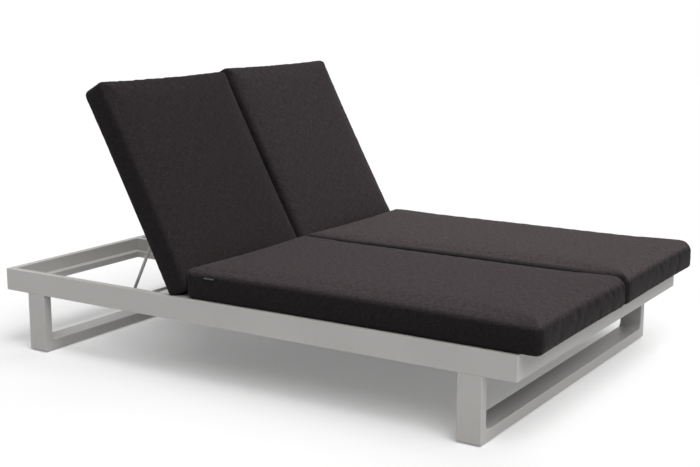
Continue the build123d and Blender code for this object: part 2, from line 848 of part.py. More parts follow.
def frame_nodes():
    """The rails, legs, racks and fittings."""
    near_post, far_post, bar = leg_tubes()
    near_rail = side_rail()
    head = head_rail()
    near_rack = rack()
    return {
        "near_side_rail": near_rail,
        "far_side_rail": across_lounger(near_rail),
        "head_rail": head,
        "foot_rail": end_to_end(head),
        "centre_rail": centre_rail(),
        "foot_leg_near_post": near_post,
        "foot_leg_far_post": far_post,
        "foot_leg_floor_bar": bar,
        "head_leg_near_post": end_to_end(near_post),
        "head_leg_far_post": end_to_end(far_post),
        "head_leg_floor_bar": end_to_end(bar),
        "floor_glides": floor_glides(),
        "leg_mounting_plates": leg_mounting_plates(),
        "leg_bolts": leg_bolts(),
        "near_outer_rack": near_rack,
        "near_inner_rack": across_half(near_rack),
        "far_inner_rack": across_lounger(across_half(near_rack)),
        "far_outer_rack": across_lounger(near_rack),
        "rack_screws": group(in_both_halves(
            [one for item in rack_screws() for one in both_sides_of_half(item)])),
        "hinge_brackets": group(in_both_halves(both_sides_of_half(hinge_bracket()))),
        "hinge_bracket_screws": group(in_both_halves(
            [one for item in bracket_screws() for one in both_sides_of_half(item)])),
        "hinge_bolts": group(in_both_halves(both_sides_of_half(hinge_bolt()))),
        "rest_buffers": group(in_both_halves(both_sides_of_half(rest_buffer()))),
    }


def deck_nodes():
    """The bearers and slats that carry the seat cushions."""
    bearers = seat_bearers()
    slats = seat_slats()
    return {
        "near_seat_bearers": group(bearers),
        "far_seat_bearers": group([across_lounger(bearer) for bearer in bearers]),
        "near_seat_slats": group(slats),
        "far_seat_slats": group([across_lounger(board) for board in slats]),
        "seat_slat_screws": group(in_both_halves(slat_screws())),
    }


def near_back_nodes():
    """The near back without its cushion, by the ends of the names."""
    outer_tube = back_side_tube()
    return {
        "outer_tube": raised(outer_tube),
        "inner_tube": raised(across_half(outer_tube)),
        "foot_tube": raised(back_cross_tube(*back_foot_tube_ends())),
        "head_tube": raised(back_cross_tube(*back_head_tube_ends())),
        "slats": group([raised(board) for board in back_slats()]),
        "hinge_bushes": group([raised(one) for one in both_sides_of_half(hinge_bush())]),
        "stay_pins": group([raised(one) for one in both_sides_of_half(stay_pin())]),
    }


def back_cushion_nodes(slip):
    """A back cushion in the near back's place, by the ends of the names."""
    return {
        "cushion_cover": on_back(cushion_cover(back_cushion_length), slip),
        "cushion_foam": on_back(cushion_foam(back_cushion_length), slip),
        "cushion_zip": on_back_foot_end(cushion_zip(back_cushion_length), slip),
    }


def near_stay_nodes():
    """The near stay, by the ends of the names."""
    arm = stay_arm()
    return {
        "outer_arm": arm,
        "inner_arm": across_half(arm),
        "rack_bar": stay_bar(),
    }


def seat_cushion_nodes():
    """The two seat cushions with their trims."""
    cover = on_seat(cushion_cover(seat_cushion_length))
    foam = on_seat(cushion_foam(seat_cushion_length))
    zip_tape = on_seat(cushion_zip(seat_cushion_length))
    return {
        "near_seat_cushion_cover": cover,
        "near_seat_cushion_foam": foam,
        "near_seat_cushion_tab": on_seat(cushion_tab()),
        "far_seat_cushion_cover": across_lounger(cover),
        "far_seat_cushion_foam": across_lounger(foam),
        "seat_cushion_zips": group(in_both_halves([zip_tape])),
    }


def all_nodes():
    """Every piece by its name."""
    nodes = {**frame_nodes(), **deck_nodes(), **seat_cushion_nodes()}
    for name, part in near_back_nodes().items():
        nodes["near_back_" + name] = part
        nodes["far_back_" + name] = across_lounger(part)
    for name, part in back_cushion_nodes(0.0).items():
        nodes["near_back_" + name] = part
    for name, part in back_cushion_nodes(far_back_cushion_slip).items():
        nodes["far_back_" + name] = across_lounger(part)
    for name, part in near_stay_nodes().items():
        nodes["near_stay_" + name] = part
        nodes["far_stay_" + name] = across_lounger(part)
    return nodes


def main():
    """Writes one file for each piece and prints the moving axes."""
    os.makedirs("parts", exist_ok=True)
    for name, part in all_nodes().items():
        export_step(part, "parts/" + name + ".step")
    print("hinge axis at x", round(hinge_x, 3), "z", round(hinge_z, 3))
    print("stay pivot at x", round(pivot_x, 3), "z", round(pivot_z, 3))
    print("stay length", round(stay_length, 3), "turn", round(degrees(stay_turn), 4),
          "ratio", round(-stay_turn / rest_angle, 6))


main()
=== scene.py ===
# %% [markdown]
# # Double chaise lounger
# A wide sun lounger for two: a light powder-coated aluminium frame on two sled legs, two backs that
# recline separately, and four dark woven cushions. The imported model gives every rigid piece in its
# true size. This lesson dresses it: it sets the camera and the light, gives each piece a finish made
# of nodes, and sews the cushions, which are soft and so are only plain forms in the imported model.

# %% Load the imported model
import json
import math

import bmesh
import bpy
import numpy as np
from mathutils import Matrix, Vector
from mathutils.bvhtree import BVHTree


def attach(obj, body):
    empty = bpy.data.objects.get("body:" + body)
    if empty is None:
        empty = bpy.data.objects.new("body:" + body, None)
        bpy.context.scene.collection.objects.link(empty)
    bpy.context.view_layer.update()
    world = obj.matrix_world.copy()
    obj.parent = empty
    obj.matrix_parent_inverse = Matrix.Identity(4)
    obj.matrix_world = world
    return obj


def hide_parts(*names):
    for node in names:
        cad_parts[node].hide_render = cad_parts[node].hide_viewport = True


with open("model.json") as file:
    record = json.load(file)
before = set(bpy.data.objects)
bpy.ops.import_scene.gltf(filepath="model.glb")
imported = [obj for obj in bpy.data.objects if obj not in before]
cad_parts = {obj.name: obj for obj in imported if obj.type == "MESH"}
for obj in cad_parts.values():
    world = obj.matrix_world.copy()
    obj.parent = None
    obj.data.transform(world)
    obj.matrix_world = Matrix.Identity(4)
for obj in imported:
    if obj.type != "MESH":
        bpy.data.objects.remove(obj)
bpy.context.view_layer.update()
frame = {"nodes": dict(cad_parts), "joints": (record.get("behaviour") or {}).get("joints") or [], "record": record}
print("pieces from the packed model:", len(frame["nodes"]))

# %% [markdown]
# ## The camera
# The picture was taken with a long lens from beside the foot end, a little above seat height. The
# edges of the frame gave the camera's place, its turn and its lens, measured in pixels of a picture
# 700 wide and 467 high. The lens looked slightly above the picture's middle row, so the frame is
# shifted a little instead of tilting the camera, and upright edges stay as upright as they were.

# %% Set up the camera
picture_width, picture_height = 700, 467
sensor_width = 36.0
focal_pixels = 1227.6
axis_row = 222.06
camera_place = Vector((2.3846, -3.7337, 1.2999))
camera_turn = math.radians(32.567)
camera_dip = math.radians(10.655)

ahead = Vector((-math.sin(camera_turn) * math.cos(camera_dip),
                math.cos(camera_turn) * math.cos(camera_dip), -math.sin(camera_dip)))
rightward = Vector((math.cos(camera_turn), math.sin(camera_turn), 0.0))
upward = rightward.cross(ahead)

camera_data = bpy.data.cameras.new("studio camera")
camera_data.sensor_width = sensor_width
camera_data.lens = focal_pixels * sensor_width / picture_width
camera_data.shift_y = (axis_row - picture_height / 2) / picture_width
camera = bpy.data.objects.new("studio camera", camera_data)
axes = Matrix((rightward, upward, -ahead)).transposed()
camera.matrix_world = Matrix.Translation(camera_place) @ axes.to_4x4()
bpy.context.scene.collection.objects.link(camera)
bpy.context.scene.camera = camera
bpy.context.scene.view_settings.view_transform = "Standard"
print("lens", round(camera_data.lens, 2), "mm, shift", round(camera_data.shift_y, 4))

# %% [markdown]
# ## A helper for nodes
# Every finish, the floor and the sky are small trees of nodes. One short function makes a node and
# sets its inputs and its choices, so that each finish below reads as a list of steps.

# %% Make nodes
def add(tree, kind, inputs=None, **choices):
    """Makes a node, with choices such as its mode first and then its inputs, and returns it."""
    node = tree.nodes.new(kind)
    for key, value in choices.items():
        setattr(node, key, value)
    for key, value in (inputs or {}).items():
        node.inputs[key].default_value = value
    return node


def join(tree, output, target):
    """Connects an output to an input."""
    tree.links.new(output, target)


def link_object(thing):
    """Puts an object in the scene."""
    bpy.context.scene.collection.objects.link(thing)
    return thing


# %% [markdown]
# ## Floor, sky and lamps
# The object stands on a white sweep. Its shadow lies under it and towards the head end, so the light
# comes down from the foot end, half from the viewer's side, through large soft screens, and a weak
# screen stands on the far side. The floor is a plain pale surface that takes the shadow. To the camera
# and to reflections it is lifted a little, so that it reaches white where no shadow falls, and the
# object itself gets no extra light from that. The sky is white to the camera and to reflections, and
# nearly dark for lighting.

# %% Lay the floor
floor_size = 30.0
floor_colour = (0.80, 0.80, 0.80, 1.0)
floor_lift = 0.195


def only_for_sight(tree):
    """1 where a ray comes from the camera, or is a mirror or glass ray, and 0 elsewhere."""
    path = add(tree, "ShaderNodeLightPath")
    either = add(tree, "ShaderNodeMath", operation="MAXIMUM")
    join(tree, path.outputs["Is Glossy Ray"], either.inputs[0])
    join(tree, path.outputs["Is Transmission Ray"], either.inputs[1])
    every = add(tree, "ShaderNodeMath", operation="MAXIMUM")
    join(tree, path.outputs["Is Camera Ray"], every.inputs[0])
    join(tree, either.outputs[0], every.inputs[1])
    return every.outputs[0]


floor_finish = bpy.data.materials.new("studio floor")
floor_finish.use_nodes = True
tree = floor_finish.node_tree
tree.nodes.clear()
matt = add(tree, "ShaderNodeBsdfDiffuse", {"Color": floor_colour})
lift = add(tree, "ShaderNodeEmission", {"Color": (1.0, 1.0, 1.0, 1.0)})
lift_strength = add(tree, "ShaderNodeMath", {1: floor_lift}, operation="MULTIPLY")
both = add(tree, "ShaderNodeAddShader")
surface = add(tree, "ShaderNodeOutputMaterial")
join(tree, only_for_sight(tree), lift_strength.inputs[0])
join(tree, lift_strength.outputs[0], lift.inputs["Strength"])
join(tree, matt.outputs[0], both.inputs[0])
join(tree, lift.outputs[0], both.inputs[1])
join(tree, both.outputs[0], surface.inputs["Surface"])

half_floor = floor_size / 2
floor_mesh = bpy.data.meshes.new("studio floor")
floor_mesh.from_pydata([(-half_floor, -half_floor, 0), (half_floor, -half_floor, 0),
                        (half_floor, half_floor, 0), (-half_floor, half_floor, 0)],
                       [], [(0, 1, 2, 3)])
floor_mesh.materials.append(floor_finish)
floor = link_object(bpy.data.objects.new("studio floor", floor_mesh))
print("floor", floor_size, "m across")

# %% Light the sky
sky_strength = 0.06

sky = bpy.data.worlds.new("studio sky")
bpy.context.scene.world = sky
sky.use_nodes = True
tree = sky.node_tree
tree.nodes.clear()
seen = add(tree, "ShaderNodeBackground", {"Color": (1.0, 1.0, 1.0, 1.0), "Strength": 1.0})
lighting = add(tree, "ShaderNodeBackground",
               {"Color": (1.0, 1.0, 1.0, 1.0), "Strength": sky_strength})
choose = add(tree, "ShaderNodeMixShader")
surface = add(tree, "ShaderNodeOutputWorld")
join(tree, only_for_sight(tree), choose.inputs[0])
join(tree, lighting.outputs[0], choose.inputs[1])
join(tree, seen.outputs[0], choose.inputs[2])
join(tree, choose.outputs[0], surface.inputs["Surface"])
print("sky at", sky_strength)

# %% Hang the lamps
# name, degrees round from the foot end towards the far side, degrees up, strength
lamps = (
    ("foot end screen", 0.0, 61.0, 1.45),
    ("viewer's side screen", -47.0, 50.0, 1.75),
    ("far side screen", 90.0, 52.0, 0.6),
)
screen_width = math.radians(45.0)

for name, round_by, up_by, strength in lamps:
    lamp = bpy.data.lights.new(name, "SUN")
    lamp.energy, lamp.angle = strength, screen_width
    stand = link_object(bpy.data.objects.new(name, lamp))
    stand.rotation_euler = (0.0, math.radians(90.0 - up_by), math.radians(round_by))
print("lamps:", [row[0] for row in lamps])

# %% [markdown]
# ## Powder coat
# Powder coat is a baked plastic skin a tenth of a millimetre thick. It has no metal grain. What the
# eye finds is a fine orange peel and a slight cloudiness in tone and gloss. All of it reads the
# Object coordinates, which on these pieces are the real metres of the lounger, so one size of peel
# serves a long rail and a small bracket alike.

# %% Turn noise into tone, gloss and relief
def new_finish(name):
    """A material with its node tree and its shader."""
    finish = bpy.data.materials.new(name)
    finish.use_nodes = True
    return finish, finish.node_tree, finish.node_tree.nodes["Principled BSDF"]


def shade(colour, factor):
    """A colour with its alpha, made lighter or darker."""
    return tuple(min(1.0, channel * factor) for channel in colour) + (1.0,)


def noise(tree, source, scale, detail=2.0, stretch=(1.0, 1.0, 1.0)):
    """Noise over the given coordinates, drawn out by unequal stretches."""
    mapping = add(tree, "ShaderNodeMapping", {"Scale": stretch})
    pattern = add(tree, "ShaderNodeTexNoise", {"Scale": scale, "Detail": detail})
    join(tree, source, mapping.inputs["Vector"])
    join(tree, mapping.outputs[0], pattern.inputs["Vector"])
    return pattern.outputs[0]


def ramp(tree, value, low, high, dark, light):
    """Turns a value from low to high into a colour from dark to light."""
    band = add(tree, "ShaderNodeValToRGB")
    band.color_ramp.elements[0].position = low
    band.color_ramp.elements[0].color = dark
    band.color_ramp.elements[1].position = high
    band.color_ramp.elements[1].color = light
    join(tree, value, band.inputs[0])
    return band.outputs[0]


def spread(tree, value, low, high):
    """Stretches a value that runs from 0 to 1 so that it runs from low to high."""
    span = add(tree, "ShaderNodeMapRange", {"To Min": low, "To Max": high})
    join(tree, value, span.inputs["Value"])
    return span.outputs[0]


def relief(tree, shader, height, strength, depth):
    """Gives the surface a bump of that depth in metres."""
    bump = add(tree, "ShaderNodeBump", {"Strength": strength, "Distance": depth})
    join(tree, height, bump.inputs["Height"])
    join(tree, bump.outputs[0], shader.inputs["Normal"])


# %% Mix the powder coat
coat_colour = (0.455, 0.442, 0.428)
cloud_scale, cloud_detail = 4.0, 5.0
cloud_band = (0.3, 0.7)
cloud_tones = (0.96, 1.03)
cloud_gloss = 0.06
peel_scale, peel_detail = 650.0, 2.0
peel_strength, peel_depth = 0.12, 0.0002


def powder_coat(name, tone, roughness):
    """A baked coat with orange peel, soft clouds of tone and uneven gloss."""
    finish, tree, shader = new_finish(name)
    place = add(tree, "ShaderNodeTexCoord").outputs["Object"]
    clouds = noise(tree, place, cloud_scale, cloud_detail)
    peel = noise(tree, place, peel_scale, peel_detail)
    colour = shade(coat_colour, tone)[:3]
    dark, light = (shade(colour, factor) for factor in cloud_tones)
    join(tree, ramp(tree, clouds, *cloud_band, dark, light), shader.inputs["Base Color"])
    join(tree, spread(tree, clouds, roughness - cloud_gloss, roughness + cloud_gloss),
         shader.inputs["Roughness"])
    relief(tree, shader, peel, peel_strength, peel_depth)
    return finish


# slot, what it covers, tone beside the frame's, roughness
coats = (
    ("frame", "frame", 1.0, 0.46),
    ("rack", "racks", 0.97, 0.5),
    ("bracket", "brackets", 0.97, 0.48),
    ("stay", "stays", 0.92, 0.42),
)
finishes = {slot: powder_coat("powder coat on the " + piece, tone, roughness)
            for slot, piece, tone, roughness in coats}
print("coats:", sorted(finishes))


# %% [markdown]
# ## Plated steel, moulded plastic and rubber
# The bolts, screws and pins are bright plated steel, with fine turning marks round their heads. The
# glides and the bushes are moulded plastic, slightly grainy, and the buffers are dull rubber.

# %% Plate the steel
steel_dark, steel_light = (0.46, 0.46, 0.47, 1.0), (0.62, 0.62, 0.62, 1.0)
mark_scale, mark_detail, mark_stretch = 260.0, 3.0, (1.0, 1.0, 6.0)
mark_band = (0.3, 0.8)
mark_gloss = (0.28, 0.5)
mark_strength, mark_depth = 0.1, 0.0001


def plated_steel(name):
    """Bright metal with fine marks left by the turning tool."""
    finish, tree, shader = new_finish(name)
    shader.inputs["Metallic"].default_value = 1.0
    place = add(tree, "ShaderNodeTexCoord").outputs["Object"]
    marks = noise(tree, place, mark_scale, mark_detail, mark_stretch)
    join(tree, ramp(tree, marks, *mark_band, steel_dark, steel_light), shader.inputs["Base Color"])
    join(tree, spread(tree, marks, *mark_gloss), shader.inputs["Roughness"])
    relief(tree, shader, marks, mark_strength, mark_depth)
    return finish


finishes["fastener"] = plated_steel("plated steel")
print("finishes:", sorted(finishes))

# %% Mould the plastic and the rubber
grain_detail = 4.0
grain_band = (0.35, 0.75)
grain_tones = (0.8, 1.35)
grain_gloss = 0.08
grain_strength, grain_depth = 0.3, 0.0002


def moulded(name, colour, roughness, grain_scale, shine=0.5):
    """A moulded or woven small piece with a fine grain, by default as shiny as plain plastic."""
    finish, tree, shader = new_finish(name)
    shader.inputs["Specular IOR Level"].default_value = shine
    place = add(tree, "ShaderNodeTexCoord").outputs["Object"]
    grain = noise(tree, place, grain_scale, grain_detail)
    dark, light = (shade(colour, factor) for factor in grain_tones)
    join(tree, ramp(tree, grain, *grain_band, dark, light), shader.inputs["Base Color"])
    join(tree, spread(tree, grain, roughness - grain_gloss, roughness + grain_gloss),
         shader.inputs["Roughness"])
    relief(tree, shader, grain, grain_strength, grain_depth)
    return finish


finishes["glide"] = moulded("black plastic of the glides", (0.022, 0.022, 0.023), 0.5, 500.0)
finishes["bush"] = moulded("dark plastic of the bushes", (0.05, 0.05, 0.052), 0.4, 400.0)
finishes["buffer"] = moulded("rubber of the buffers", (0.03, 0.03, 0.031), 0.8, 300.0)
print("finishes:", sorted(finishes))

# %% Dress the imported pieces
slot_of = {row["node"]: row["material_slot"] for row in frame["record"]["subparts"]}
dressed = 0
for node, thing in frame["nodes"].items():
    if slot_of[node] in finishes:
        thing.data.materials.clear()
        thing.data.materials.append(finishes[slot_of[node]])
        dressed += 1
print("dressed", dressed, "rigid pieces")

# %% [markdown]
# ## The cushion cloth
# The covers are a plain weave of dark spun yarn. Some fibres are paler, so close up the cloth is
# flecked and from afar it is a soft warm charcoal. The weave is drawn on each cushion's own map, which
# is laid out in metres like the cut pieces of cloth, so it turns with the panels. Two yarns cross:
# where the product of two waves is positive one lies on top, and elsewhere the other does. The upper
# panels are painted paler than the bands, a painted highlight for the light from above, more on the
# seats than the backs and more on the far cushions; it is left off down in the valley between two
# cushions, which paints shade there.

# %% Weave the cloth
cloth_map = "cloth"
yarn_pitch = 0.0011
yarn_depth, yarn_strength = 0.0003, 0.5
cloth_dark = (0.0060, 0.0048, 0.0051, 1.0)
cloth_light = (0.0217, 0.0183, 0.0188, 1.0)
fibre_scale, fibre_detail = 420.0, 3.0
fibre_stretch = 0.12
fibre_band = (0.42, 0.72)
fleck_scale, fleck_detail = 210.0, 8.0
fleck_range = (0.56, 1.38)
# Painted light: how many times paler each cushion's upper panel is painted, a painted highlight for the light from
# above. Within these widths of the valley between cushions it is left off, painted shade.
painted_top_light = {"near_seat": 4.2, "near_back": 1.95, "far_seat": 5.5, "far_back": 2.85}
painted_valley_shade_width = {"near": 0.008, "far": 0.032}
cloth_settings = {"Roughness": 0.92, "Specular IOR Level": 0.12, "Sheen Weight": 0.05,
                  "Sheen Roughness": 0.30, "Sheen Tint": (1.0, 0.86, 0.88, 1.0)}


def calculate(tree, operation, first, second=None):
    """A sum on one or two values, each an output or a number."""
    node = add(tree, "ShaderNodeMath", operation=operation)
    for place, value in enumerate((first, second)):
        if isinstance(value, (int, float)):
            node.inputs[place].default_value = value
        elif value is not None:
            join(tree, value, node.inputs[place])
    return node.outputs[0]


def wave(tree, value, pitch):
    """A sine that passes zero once each pitch."""
    return calculate(tree, "SINE", calculate(tree, "MULTIPLY", value, math.pi / pitch))


def blend_by(tree, factor, first, second, kind):
    """Mixes two values or two colours."""
    node = add(tree, "ShaderNodeMix", data_type=kind)
    index = {"FLOAT": 2, "RGBA": 6}[kind]
    join(tree, factor, node.inputs[0])
    join(tree, first, node.inputs[index])
    join(tree, second, node.inputs[index + 1])
    return node.outputs[{"FLOAT": 0, "RGBA": 2}[kind]]


def yarn(tree, cloth, stretch):
    """The tone of one yarn, whose paler fibres run along it."""
    fibres = noise(tree, cloth, fibre_scale, fibre_detail, stretch)
    return ramp(tree, fibres, *fibre_band, cloth_dark, cloth_light)


def flecked_and_painted_light(tree, cloth, yarns):
    """The yarns' tone with its flecks, made paler by the painted highlight on the upper panels."""
    flecked = spread(tree, noise(tree, cloth, fleck_scale, fleck_detail), *fleck_range)
    painted_light = add(tree, "ShaderNodeAttribute", attribute_name="painted_light").outputs["Fac"]
    shown = add(tree, "ShaderNodeVectorMath", operation="SCALE")
    join(tree, yarns, shown.inputs[0])
    join(tree, calculate(tree, "MULTIPLY", flecked, painted_light), shown.inputs["Scale"])
    return shown.outputs[0]


def woven(name):
    """A plain weave of two flecked yarns."""
    finish, tree, shader = new_finish(name)
    cloth = add(tree, "ShaderNodeUVMap", uv_map=cloth_map).outputs[0]
    parts = add(tree, "ShaderNodeSeparateXYZ")
    join(tree, cloth, parts.inputs[0])
    across, along = (wave(tree, parts.outputs[axis], yarn_pitch) for axis in (0, 1))
    over = calculate(tree, "GREATER_THAN", calculate(tree, "MULTIPLY", across, along), 0.0)
    height = blend_by(tree, over, calculate(tree, "ABSOLUTE", across),
                      calculate(tree, "ABSOLUTE", along), "FLOAT")
    warp = yarn(tree, cloth, (1.0, fibre_stretch, 1.0))
    weft = yarn(tree, cloth, (fibre_stretch, 1.0, 1.0))
    yarns = blend_by(tree, over, warp, weft, "RGBA")
    join(tree, flecked_and_painted_light(tree, cloth, yarns), shader.inputs["Base Color"])
    for socket, value in cloth_settings.items():
        shader.inputs[socket].default_value = value
    relief(tree, shader, height, yarn_strength, yarn_depth)
    return finish


cushion_cloth = woven("flecked cushion cloth")
print("cloth woven at", round(1 / (yarn_pitch * 1000), 2), "yarns per millimetre")

# %% [markdown]
# ## Where the cushions lie
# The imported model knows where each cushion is. A seat cushion lies flat, so its box says all. A back
# cushion is turned up with its back, so its points are first turned down flat about the hinge. All
# four are then made the same way, flat, and the back ones are turned up again at the end. Where a
# seat cushion meets a raised back cushion both are soft: the seat cushion reaches in a little
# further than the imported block, and the lower front edge of the back cushion is pressed flat on it.
# The back cushion's own end sags a little further too, until it lies on the deck.

# %% Measure the cushions
joint_of = {joint["name"]: joint for joint in frame["joints"]}
hinge = np.array(joint_of["near_back_recline"]["pos_m"])
back_angle = -joint_of["near_back_recline"]["range_deg"][0]
seat_press = 0.022
back_press = 0.006


def turned(points, degrees_up):
    """Points turned about the line of the hinges, head end up."""
    angle = math.radians(degrees_up)
    off = points - hinge
    out = points.copy()
    out[:, 0] = hinge[0] + off[:, 0] * math.cos(angle) + off[:, 2] * math.sin(angle)
    out[:, 2] = hinge[2] - off[:, 0] * math.sin(angle) + off[:, 2] * math.cos(angle)
    return out


def flat_box(node, degrees_up):
    """The corners of a packed cushion after it is turned down flat."""
    mesh = frame["nodes"][node].data
    points = np.empty(len(mesh.vertices) * 3)
    mesh.vertices.foreach_get("co", points)
    points = turned(points.reshape(-1, 3), -degrees_up)
    return points.min(0), points.max(0)


cushions = {}
for side in ("near", "far"):
    cushions[side + "_seat"] = (flat_box(side + "_seat_cushion_cover", 0.0), 0.0, "frame")
    cushions[side + "_back"] = (flat_box(side + "_back_cushion_cover", back_angle), back_angle,
                                side + "_back")
seat_start = cushions["near_seat"][0][0][0] - seat_press
for side in ("near", "far"):
    cushions[side + "_seat"][0][0][0] = seat_start
    cushions[side + "_back"][0][1][0] += back_press
for name, (box, lifted, body) in cushions.items():
    print(name, "size", [round(v, 4) for v in box[1] - box[0]], "raised", lifted)

# %% [markdown]
# ## A cushion's shape
# A boxed cushion is a top panel, a bottom panel and a band round the sides, sewn together at two
# seams. It starts here as the outside of a lattice, finer near the edges. Its corners and edges are
# then rounded, its sides drawn in between the corners, and its top crowned. The foam is cut square,
# so the edges are full near the hinges and wear rounder towards the free end, which people lean on.
# Because the lattice is regular, the seams are simply its edge lines, and the flat lattice itself is
# the map of the cloth.

# %% Lay out a cushion
corner_at_free_end, corner_at_hinge = 0.026, 0.016
edge_at_free_end = {"seat": 0.038, "back": 0.026}
edge_at_hinge = {"seat": 0.017, "back": 0.020}
edge_below = 0.015
edge_margin = 0.039
fine_step, wide_step = 0.0054, 0.0115
crown, crown_fall = 0.010, 4
long_side_draw, short_side_draw = 0.005, 0.0035
draw_spread, draw_fall = 2, 6
tiny = 1e-9


def graded(length):
    """Places along one side, close together near both ends."""
    edge = np.linspace(0, edge_margin, round(edge_margin / fine_step) + 1)
    steps = max(2, round((length - 2 * edge_margin) / wide_step))
    middle = np.linspace(edge_margin, length - edge_margin, steps + 1)
    return np.concatenate([edge[:-1], middle, length - edge[::-1][1:]]) - length / 2


def lattice_shell(xs, ys, zs):
    """The outside of a lattice: its points, its quads, and the two rings where the seams are."""
    shape = (len(xs), len(ys), len(zs))
    i, j, k = np.indices(shape)
    end = [count - 1 for count in shape]
    sides = (i == 0) | (i == end[0]) | (j == 0) | (j == end[1])
    outside = sides | (k == 0) | (k == end[2])
    number = np.full(shape, -1)
    number[outside] = np.arange(outside.sum())
    points = np.stack([xs[i[outside]], ys[j[outside]], zs[k[outside]]], 1)
    quads = []
    for sheet, flip in ((number[:, :, -1], 0), (number[:, :, 0], 1), (number[:, 0, :], 0),
                        (number[:, -1, :], 1), (number[-1, :, :], 0), (number[0, :, :], 1)):
        four = np.stack([sheet[:-1, :-1], sheet[1:, :-1], sheet[1:, 1:], sheet[:-1, 1:]], -1)
        four = four.reshape(-1, 4)
        quads.append(four[:, ::-1] if flip else four)
    rings = []
    for level in (number[:, :, -1], number[:, :, 0]):
        rings.append(np.concatenate([level[:-1, 0], level[-1, :-1], level[:0:-1, -1],
                                     level[0, :0:-1]]))
    return points, np.concatenate(quads), rings


def rounding_at(points, size, kind, free_end):
    """The radius of the upright corner and of the edge nearest to each point."""
    share = np.clip(free_end * points[:, 0] / size[0] + 0.5, 0, 1)
    corner = np.where(share > 0.5, corner_at_free_end, corner_at_hinge)
    edge = edge_at_hinge[kind] + share * (edge_at_free_end[kind] - edge_at_hinge[kind])
    return corner, np.where(points[:, 2] > 0, edge, edge_below)


def rounded(points, size, corner, edge):
    """Rounds a box's edges, then its upright corners."""
    half = size / 2
    flat = points[:, :2]
    inset = (half[:2] - np.abs(flat)).min(1)
    drop = half[2] - np.abs(points[:, 2])
    path = np.where(inset > tiny, inset, -drop)
    bend = np.clip((path + edge) / (2 * edge), 0, 1) * math.pi / 2
    on_edge = np.abs(path) < edge
    new_inset = np.where(on_edge, edge * (1 - np.cos(bend)), inset)
    new_drop = np.where(on_edge, edge * (1 - np.sin(bend)), drop)
    before = np.maximum(half[:2] - inset[:, None], tiny)
    flat = flat * (half[:2] - new_inset[:, None]) / before
    inner = half[:2] - corner[:, None]
    core = np.clip(flat, -inner, inner)
    off = flat - core
    length = np.maximum(np.hypot(off[:, 0], off[:, 1]), tiny)
    out = points.copy()
    out[:, :2] = core + off * (np.abs(off).max(1) / length)[:, None]
    out[:, 2] = np.sign(points[:, 2]) * (half[2] - new_drop)
    return out


def drawn_in_and_crowned(points, size):
    """Draws the sides in between the corners and lifts the middle of the top."""
    half = size / 2
    out = points.copy()
    share = np.clip(np.abs(points[:, :2] / half[:2]), 0, 1)
    pull = (1 - share[:, ::-1] ** draw_spread) * share ** draw_fall
    out[:, 0] -= np.sign(points[:, 0]) * short_side_draw * pull[:, 0]
    out[:, 1] -= np.sign(points[:, 1]) * long_side_draw * pull[:, 1]
    away = np.minimum(half[0] - np.abs(points[:, 0]), half[1] - np.abs(points[:, 1]))
    rise = 1 - (1 - np.clip(away / half[1], 0, 1)) ** crown_fall
    out[:, 2] += crown * rise * np.clip(points[:, 2] / half[2], 0, 1)
    return out


seat_low, seat_high = cushions["near_seat"][0]
seat_points, seat_quads, seat_rings = lattice_shell(*(graded(v) for v in seat_high - seat_low))
print("a seat cushion starts with about", len(seat_points), "points and", len(seat_quads), "quads")
print("each of its seams is", len(seat_rings[0]), "points long")

# %% [markdown]
# ## Blowing it up
# Foam pushes the cloth out, and the cloth, cut a touch larger than the foam, gives way in soft waves
# near the seams. A short cloth simulation does the same: a little pressure inside, no gravity, cloth
# that grows slightly larger than the shape, the underside held fast and the seams nearly so. No
# point may move more than a small cap, so the cushion keeps its cut. A small seeded unevenness in
# the starting shape makes the four differ.

# %% Simulate a cushion
simulated_frames = 14
unevenness = 0.0003
largest_move = 0.0045
held_under, seam_hold = 0.002, 0.75
cloth_behaviour = {"quality": 4, "mass": 0.35, "tension_stiffness": 22.0,
                   "compression_stiffness": 22.0, "shear_stiffness": 8.0, "bending_stiffness": 0.6,
                   "use_pressure": True, "uniform_pressure_force": 3.0, "shrink_min": -0.006}


def mesh_from(name, points, quads):
    """A mesh of quads."""
    mesh = bpy.data.meshes.new(name)
    mesh.from_pydata(points.tolist(), [], quads.tolist())
    mesh.validate()
    return mesh


def hold(thing, points, rings):
    """Holds the underside fast and the seams nearly so."""
    held = thing.vertex_groups.new(name="held")
    under = np.flatnonzero(points[:, 2] < points[:, 2].min() + held_under)
    held.add(under.tolist(), 1.0, "REPLACE")
    for ring in rings:
        held.add(ring.tolist(), seam_hold, "REPLACE")
    return held


def blown_up(name, points, quads, rings):
    """Runs the cloth simulation on a copy of the shape and returns where its points end."""
    thing = link_object(bpy.data.objects.new(name, mesh_from(name, points, quads)))
    held = hold(thing, points, rings)
    cloth = thing.modifiers.new("blow up", "CLOTH")
    for setting, value in cloth_behaviour.items():
        setattr(cloth.settings, setting, value)
    cloth.settings.effector_weights.gravity = 0.0
    cloth.settings.vertex_group_mass = held.name
    cloth.collision_settings.use_collision = False
    cloth.point_cache.frame_start = 1
    cloth.point_cache.frame_end = simulated_frames
    scene = bpy.context.scene
    for step in range(1, simulated_frames + 1):
        scene.frame_set(step)
    shaped = thing.evaluated_get(bpy.context.evaluated_depsgraph_get()).to_mesh()
    moved = np.empty(len(points) * 3)
    shaped.vertices.foreach_get("co", moved)
    moved = moved.reshape(-1, 3)
    bpy.data.objects.remove(thing)
    scene.frame_set(1)
    change = moved - points
    reach = np.maximum(np.linalg.norm(change, axis=1), tiny)
    change *= (largest_move * np.tanh(reach / largest_move) / reach)[:, None]
    print(name, "moved up to", round(float(reach.max()) * 1000, 1), "mm, kept to",
          round(float(np.linalg.norm(change, axis=1).max()) * 1000, 1))
    return points + change


